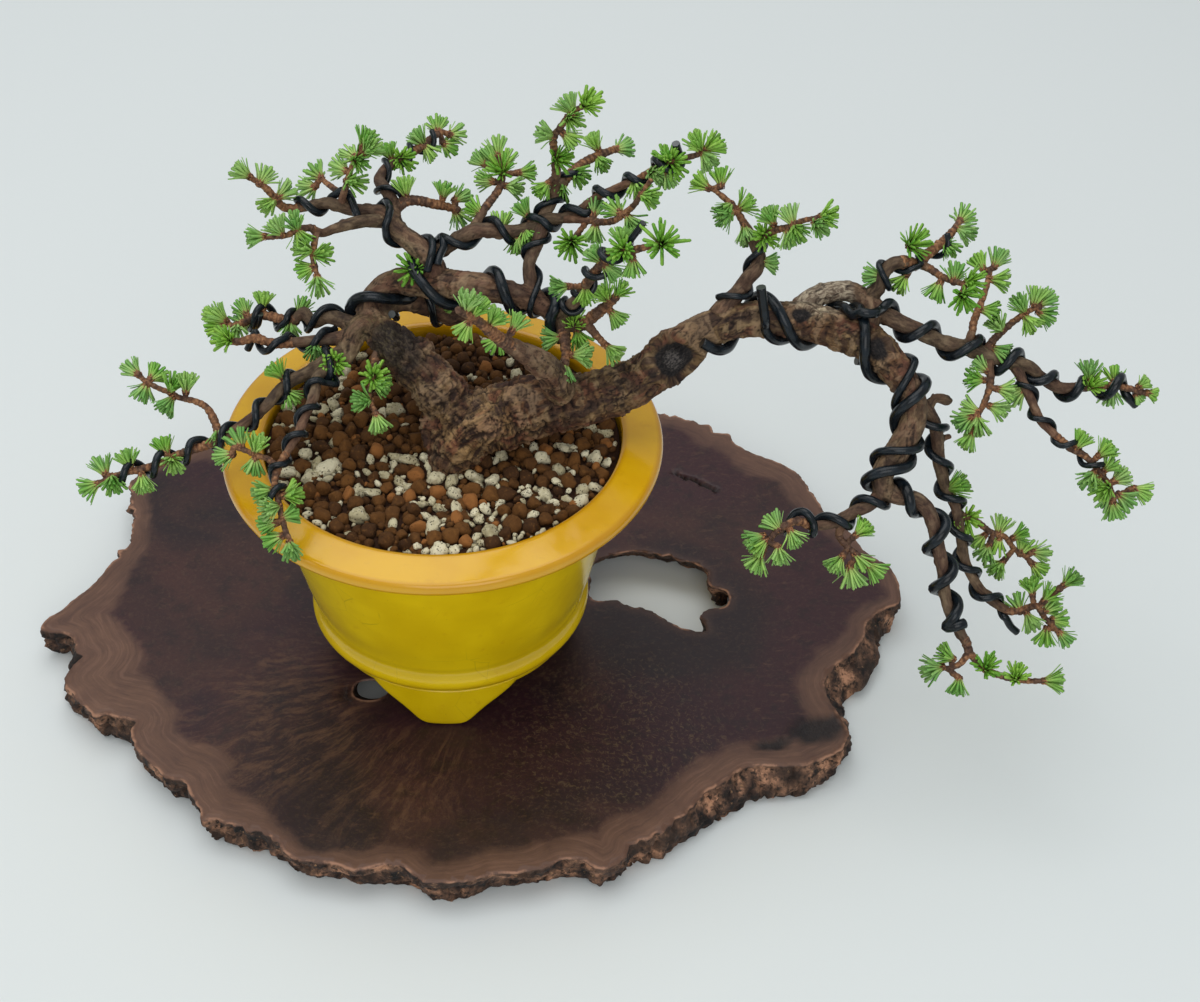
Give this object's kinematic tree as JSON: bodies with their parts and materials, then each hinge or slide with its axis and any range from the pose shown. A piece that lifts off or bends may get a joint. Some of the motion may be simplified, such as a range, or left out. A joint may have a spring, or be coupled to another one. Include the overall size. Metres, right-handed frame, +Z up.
{
  "type": "larch bonsai",
  "caption": "Semi-cascade larch bonsai wired for training, in a round footed yellow-glazed pot of gritty soil, standing on a natural-edged burl slab.",
  "frame": {"origin": "on the slab's flat underside, under the middle of the pot", "axes": "+Z up, +X towards the long cascading limb, -Y towards the side that the tree is viewed from"},
  "size_m": [0.3978, 0.2486, 0.2279],
  "materials": {
    "burl_wood": "satin oiled dark reddish-brown burl with a rough, lighter natural edge",
    "yellow_glaze": "glossy yellow glaze, more ochre on the rim, with fine dark specks and faint crazing",
    "potting_mix": "matt mixed grains of reddish-brown clay and cream pumice",
    "bark": "rough flaking grey-brown bark with dark fissures, redder on the younger limbs",
    "dark_wire": "satin near-black anodised aluminium training wire with bright cut ends",
    "shoots_and_needles": "orange-brown scaly young shoots with soft matt fresh green needles"
  },
  "bodies": {
    "root": {"display_slab": "burl_wood", "pot": "yellow_glaze", "shoot_apex": "shoots_and_needles", "shoot_apex_right": "shoots_and_needles", "shoot_back_side": "shoots_and_needles", "shoot_back_tip": "shoots_and_needles", "shoot_cascade_left": "shoots_and_needles", "shoot_cascade_left_spur": "shoots_and_needles", "shoot_cascade_tip": "shoots_and_needles", "shoot_centre_side": "shoots_and_needles", "shoot_centre_tip": "shoots_and_needles", "shoot_crown_front_hanging": "shoots_and_needles", "shoot_crown_front_right": "shoots_and_needles", "shoot_crown_front_rising": "shoots_and_needles", "shoot_crown_middle": "shoots_and_needles", "shoot_crown_right_low": "shoots_and_needles", "shoot_crown_right_tip": "shoots_and_needles", "shoot_far_right_drooping": "shoots_and_needles", "shoot_far_right_hanging": "shoots_and_needles", "shoot_far_right_middle": "shoots_and_needles", "shoot_far_right_tip": "shoots_and_needles", "shoot_far_right_upper": "shoots_and_needles", "shoot_front": "shoots_and_needles", "shoot_left_hanging_side": "shoots_and_needles", "shoot_left_hanging_tip": "shoots_and_needles", "shoot_left_middle": "shoots_and_needles", "shoot_left_side": "shoots_and_needles", "shoot_left_tip": "shoots_and_needles", "shoot_left_upper": "shoots_and_needles", "shoot_lower_crown_hanging": "shoots_and_needles", "shoot_lower_crown_left": "shoots_and_needles", "shoot_lower_right_side": "shoots_and_needles", "shoot_lower_right_tip": "shoots_and_needles", "shoot_right_rising": "shoots_and_needles", "shoot_trunk_left": "shoots_and_needles", "shoot_upper_left_rising": "shoots_and_needles", "shoot_upper_left_side": "shoots_and_needles", "shoot_upper_left_tip": "shoots_and_needles", "soil": "potting_mix", "trunk_and_branches": "bark", "tuft_lower_right_branch": "shoots_and_needles", "tuft_right_fork": "shoots_and_needles", "tuft_upper_limb": "shoots_and_needles", "wire_apex_and_front": "dark_wire", "wire_cascade_left": "dark_wire", "wire_centre_branch": "dark_wire", "wire_crown_back": "dark_wire", "wire_crown_right": "dark_wire", "wire_far_right_drooping": "dark_wire", "wire_left_hanging": "dark_wire", "wire_left_middle": "dark_wire", "wire_left_tip": "dark_wire", "wire_left_upper": "dark_wire", "wire_lower_right": "dark_wire", "wire_rear_limb": "dark_wire", "wire_right_rising": "dark_wire", "wire_thick_trunk_to_cascade": "dark_wire", "wire_thick_upper_limb": "dark_wire", "wire_trunk_to_far_right": "dark_wire", "wire_upper_left_crown": "dark_wire"}
  },
  "joints": []
}
